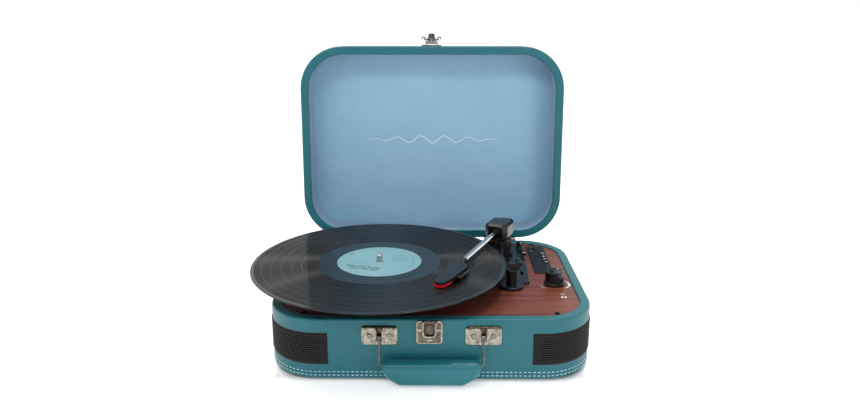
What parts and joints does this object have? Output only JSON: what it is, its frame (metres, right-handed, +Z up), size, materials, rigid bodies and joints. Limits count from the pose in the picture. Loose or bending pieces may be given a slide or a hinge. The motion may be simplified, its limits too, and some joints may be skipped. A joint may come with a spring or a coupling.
{
  "type": "suitcase record player",
  "caption": "Portable suitcase record player, lid open, with platter and 12 inch record, tonearm, cue lift, volume knob, side grilles, front latch and carrying handle.",
  "frame": {"origin": "middle of the rest-pose box's footprint, on the surface that the feet stand on", "axes": "+Z up along the spindle, +X to the right along the case's long side, +Y towards the lid's hinges"},
  "size_m": [0.391, 0.3728, 0.3543],
  "materials": {
    "leatherette": "embossed leatherette over board",
    "lining": "smooth pale lining paper",
    "wood_deck": "satin reddish wood veneer",
    "board": "raw board",
    "black_plastic": "satin moulded plastic",
    "dark_plastic": "fine texture moulded plastic",
    "charcoal_plastic": "ribbed matt plastic",
    "gloss_black": "gloss",
    "vinyl": "grooved gloss vinyl",
    "paper_label": "printed paper",
    "felt": "felt",
    "rubber": "matt",
    "nickel": "nickel plated",
    "polished_tube": "polished",
    "dark_steel": "dark plated",
    "steel": "bright steel",
    "brass": "turned",
    "red_plastic": "gloss translucent",
    "pcb": "solder mask",
    "speaker_black": "coated paper cone and frame"
  },
  "bodies": {
    "case": {"base_shell": "leatherette", "bottom_panel": "board", "rubber_feet": "rubber", "deck_plate": "wood_deck", "deck_screws": "dark_steel", "speaker_grille_left": "charcoal_plastic", "speaker_grille_right": "charcoal_plastic", "speaker_baffles": "black_plastic", "speaker_left": "speaker_black", "speaker_right": "speaker_black", "main_pcb": "pcb", "rear_jack_plate": "black_plastic", "dc_jack": "black_plastic", "rca_jacks": "brass", "aux_jack": "black_plastic", "headphone_jack": "black_plastic", "motor": "steel", "motor_mount": "dark_steel", "bearing_bush": "brass", "drive_belt": "rubber", "tonearm_base": "dark_plastic", "arm_rest": "black_plastic", "control_panel": "dark_plastic", "volume_pot": "steel", "latch_plate": "nickel", "handle_plates": "nickel", "handle_screws": "nickel", "hinge_leaves_base": "nickel", "hinge_pins": "nickel"},
    "platter": {"platter": "black_plastic", "slipmat": "felt", "spindle": "steel", "lp_record": "vinyl", "record_label": "paper_label"},
    "pulley": {"motor_pulley": "brass"},
    "arm_swing": {"tonearm_yoke": "black_plastic"},
    "arm": {"tonearm_head": "black_plastic", "counterweight": "black_plastic", "tonearm_tube": "polished_tube", "headshell": "dark_plastic", "cartridge": "black_plastic", "stylus": "red_plastic", "finger_lift": "steel"},
    "cue_lifter": {"cue_lifter": "black_plastic"},
    "cue_lever": {"cue_lever": "black_plastic"},
    "arm_clip": {"arm_clip": "steel"},
    "speed_switch": {"speed_switch": "black_plastic"},
    "auto_stop_switch": {"auto_stop_switch": "black_plastic"},
    "panel_button_1": {"panel_button_1": "dark_plastic"},
    "panel_button_2": {"panel_button_2": "dark_plastic"},
    "panel_button_3": {"panel_button_3": "dark_plastic"},
    "panel_button_4": {"panel_button_4": "dark_plastic"},
    "volume_knob": {"volume_knob": "black_plastic"},
    "handle": {"handle_rods": "dark_steel", "handle_grip": "leatherette"},
    "lid": {"lid_shell": "leatherette", "lid_lining": "lining", "hinge_leaves_lid": "nickel", "catch_plate": "nickel"},
    "hasp": {"catch_hasp": "nickel"}
  },
  "joints": [
    {"name": "platter_spin", "type": "hinge", "parent": "case", "child": "platter", "pos_m": [-0.045, -0.03594, 0.083], "axis": [0, 0, 1], "continuous": true},
    {"name": "pulley_spin", "type": "hinge", "parent": "case", "child": "pulley", "pos_m": [-0.105, 0.02406, 0.079], "axis": [0, 0, 1], "continuous": true},
    {"name": "arm_swing", "type": "hinge", "parent": "case", "child": "arm_swing", "pos_m": [0.1054, 0.05706, 0.093], "axis": [0, 0, 1], "range_deg": [-17, 27.3]},
    {"name": "arm_lift", "type": "hinge", "parent": "arm_swing", "child": "arm", "pos_m": [0.1054, 0.05706, 0.107], "axis": [-0.9107, 0.4131, 0], "range_deg": [0, 9]},
    {"name": "cue_lever_turn", "type": "hinge", "parent": "case", "child": "cue_lever", "pos_m": [0.1361, 0.07606, 0.0802], "axis": [-1, 0, 0], "range_deg": [0, 72]},
    {"name": "cue_lifter_slide", "type": "slide", "parent": "case", "child": "cue_lifter", "axis": [0, 0, 1], "range_m": [0, 0.0035]},
    {"name": "arm_clip_turn", "type": "hinge", "parent": "case", "child": "arm_clip", "pos_m": [0.11769, -0.0523, 0.10334], "axis": [-0.0519, 0.9987, 0], "range_deg": [-154, 0]},
    {"name": "speed_switch_slide", "type": "slide", "parent": "case", "child": "speed_switch", "axis": [0, 1, 0], "range_m": [-0.005, 0.005]},
    {"name": "auto_stop_switch_slide", "type": "slide", "parent": "case", "child": "auto_stop_switch", "axis": [0, 1, 0], "range_m": [0, 0.006]},
    {"name": "panel_button_1_press", "type": "slide", "parent": "case", "child": "panel_button_1", "axis": [0, 0, -1], "range_m": [0, 0.0012], "stiffness_N_per_m": 150, "springref_m": -0.001},
    {"name": "panel_button_2_press", "type": "slide", "parent": "case", "child": "panel_button_2", "axis": [0, 0, -1], "range_m": [0, 0.0012], "stiffness_N_per_m": 150, "springref_m": -0.001},
    {"name": "panel_button_3_press", "type": "slide", "parent": "case", "child": "panel_button_3", "axis": [0, 0, -1], "range_m": [0, 0.0012], "stiffness_N_per_m": 150, "springref_m": -0.001},
    {"name": "panel_button_4_press", "type": "slide", "parent": "case", "child": "panel_button_4", "axis": [0, 0, -1], "range_m": [0, 0.0012], "stiffness_N_per_m": 150, "springref_m": -0.001},
    {"name": "volume_turn", "type": "hinge", "parent": "case", "child": "volume_knob", "pos_m": [0.1628, -0.04244, 0.077], "axis": [0, 0, -1], "range_deg": [0, 300]},
    {"name": "handle_swing", "type": "hinge", "parent": "case", "child": "handle", "pos_m": [0.0178, -0.15234, 0.0535], "axis": [-1, 0, 0], "range_deg": [0, 100]},
    {"name": "lid_hinge", "type": "hinge", "parent": "case", "child": "lid", "pos_m": [0.0165, 0.11806, 0.0724], "axis": [1, 0, 0], "range_deg": [0, 62]},
    {"name": "hasp_turn", "type": "hinge", "parent": "lid", "child": "hasp", "pos_m": [0.0156, 0.13961, 0.34307], "axis": [1, 0, 0], "range_deg": [0, 88]}
  ],
  "couplings": [
    {"joint": "pulley_spin", "follows": "platter_spin", "ratio": 12},
    {"joint": "cue_lever_turn", "follows": "arm_lift", "ratio": 8},
    {"joint": "cue_lifter_slide", "follows": "arm_lift", "m_per_rad": 0.022282}
  ]
}
